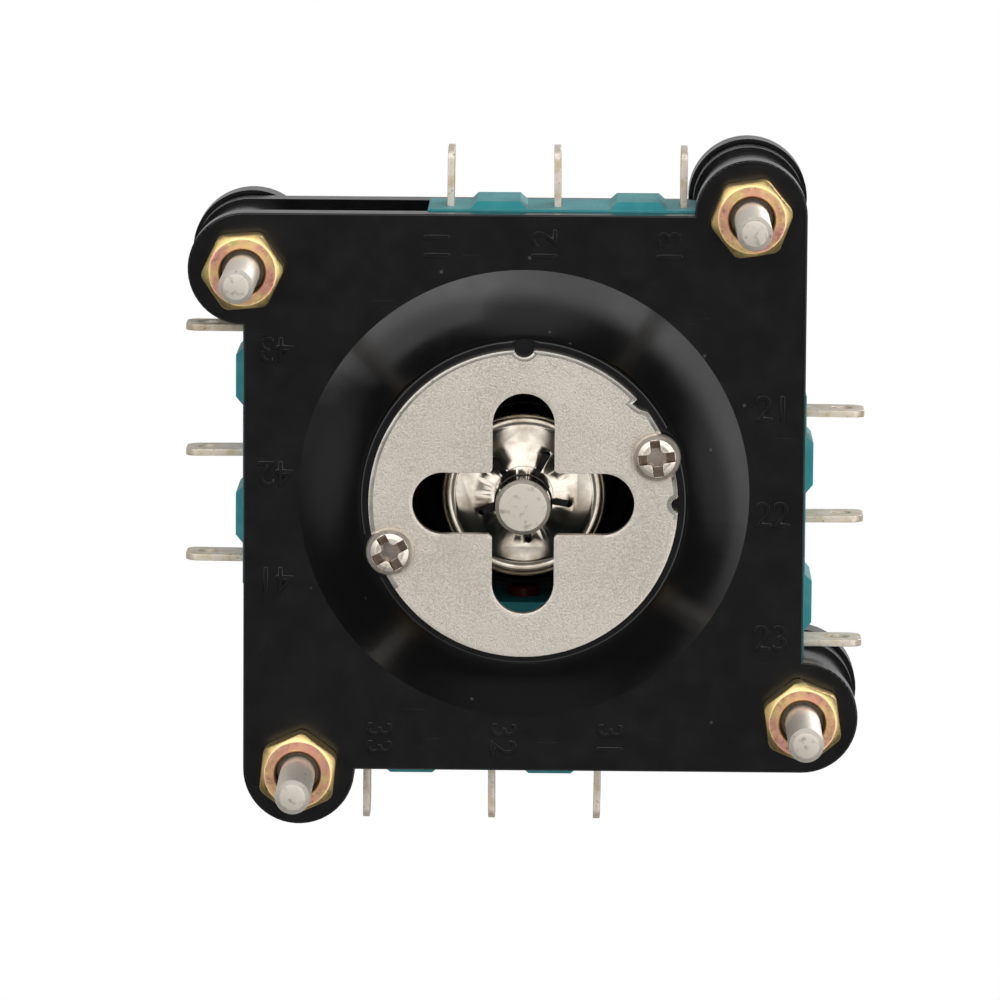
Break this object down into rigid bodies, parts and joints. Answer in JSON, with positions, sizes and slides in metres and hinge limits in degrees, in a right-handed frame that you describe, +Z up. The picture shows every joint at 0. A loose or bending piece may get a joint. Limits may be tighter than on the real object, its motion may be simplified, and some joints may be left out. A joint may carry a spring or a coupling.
{
  "type": "joystick switch",
  "caption": "Panel-mount four-way joystick switch: ball knob, bellows boot, cross gate and a microswitch with three blade terminals on every side.",
  "frame": {"origin": "on the lever's axis, in the plane of the four screw ends", "axes": "+Z up along the lever to the knob, -Y through switch 1"},
  "size_m": [0.0646, 0.0646, 0.1165],
  "materials": {
    "black_moulding": "gloss moulded",
    "nickel_steel": "satin nickel plate",
    "nickel_screw": "bright nickel plate",
    "zinc_chromate": "yellow chromate zinc",
    "chrome_rod": "polished chrome",
    "bright_washer": "bright nickel plate",
    "spring_steel": "drawn wire",
    "teal_case": "moulded",
    "button_plastic": "moulded",
    "white_acetal": "turned",
    "tinned_brass": "tin plate on brass",
    "black_rubber": "moulded rubber",
    "black_knob": "polished"
  },
  "bodies": {
    "housing": {"base_plate": "black_moulding", "upper_plate": "black_moulding", "mounting_flange": "black_moulding", "gate_plate": "nickel_steel", "gate_screw_1": "nickel_screw", "gate_screw_2": "nickel_screw", "panel_gasket": "black_rubber", "seat_retainer": "nickel_steel", "boot_ring": "nickel_steel", "switch_case_1": "teal_case", "switch_cover_1": "teal_case", "terminal_normally_closed_1": "tinned_brass", "terminal_normally_open_1": "tinned_brass", "terminal_common_1": "tinned_brass", "corner_screw_1": "nickel_screw", "screw_washer_1": "nickel_screw", "hex_nut_1": "zinc_chromate", "switch_case_2": "teal_case", "switch_cover_2": "teal_case", "terminal_normally_closed_2": "tinned_brass", "terminal_normally_open_2": "tinned_brass", "terminal_common_2": "tinned_brass", "corner_screw_2": "nickel_screw", "screw_washer_2": "nickel_screw", "hex_nut_2": "zinc_chromate", "switch_case_3": "teal_case", "switch_cover_3": "teal_case", "terminal_normally_closed_3": "tinned_brass", "terminal_normally_open_3": "tinned_brass", "terminal_common_3": "tinned_brass", "corner_screw_3": "nickel_screw", "screw_washer_3": "nickel_screw", "hex_nut_3": "zinc_chromate", "switch_case_4": "teal_case", "switch_cover_4": "teal_case", "terminal_normally_closed_4": "tinned_brass", "terminal_normally_open_4": "tinned_brass", "terminal_common_4": "tinned_brass", "corner_screw_4": "nickel_screw", "screw_washer_4": "nickel_screw", "hex_nut_4": "zinc_chromate"},
    "lever_seat": {"ball_seat": "white_acetal", "centring_spring": "spring_steel", "bellows_boot": "black_rubber"},
    "lever": {"lever_shaft": "chrome_rod", "ball_knob": "black_knob", "pivot_ball": "white_acetal", "star_washer": "bright_washer", "actuator_sleeve": "white_acetal"},
    "button_1": {"plunger_1": "button_plastic"},
    "button_2": {"plunger_2": "button_plastic"},
    "button_3": {"plunger_3": "button_plastic"},
    "button_4": {"plunger_4": "button_plastic"}
  },
  "joints": [
    {"name": "lever_direction", "type": "hinge", "parent": "housing", "child": "lever_seat", "pos_m": [0, 0, 0.0515], "axis": [0, 0, 1], "range_deg": [0, 90]},
    {"name": "lever_tilt", "type": "hinge", "parent": "lever_seat", "child": "lever", "pos_m": [0, 0, 0.0515], "axis": [1, 0, 0], "range_deg": [-9.5, 9.5], "stiffness_Nm_per_rad": 0.8, "deforming": ["centring_spring", "bellows_boot"]},
    {"name": "button_1_press", "type": "slide", "parent": "housing", "child": "button_1", "axis": [0, -1, 0], "range_m": [0, 0.0008], "stiffness_N_per_m": 400, "springref_m": -0.002},
    {"name": "button_2_press", "type": "slide", "parent": "housing", "child": "button_2", "axis": [1, 0, 0], "range_m": [0, 0.0008], "stiffness_N_per_m": 400, "springref_m": -0.002},
    {"name": "button_3_press", "type": "slide", "parent": "housing", "child": "button_3", "axis": [0, 1, 0], "range_m": [0, 0.0008], "stiffness_N_per_m": 400, "springref_m": -0.002},
    {"name": "button_4_press", "type": "slide", "parent": "housing", "child": "button_4", "axis": [-1, 0, 0], "range_m": [0, 0.0008], "stiffness_N_per_m": 400, "springref_m": -0.002}
  ]
}
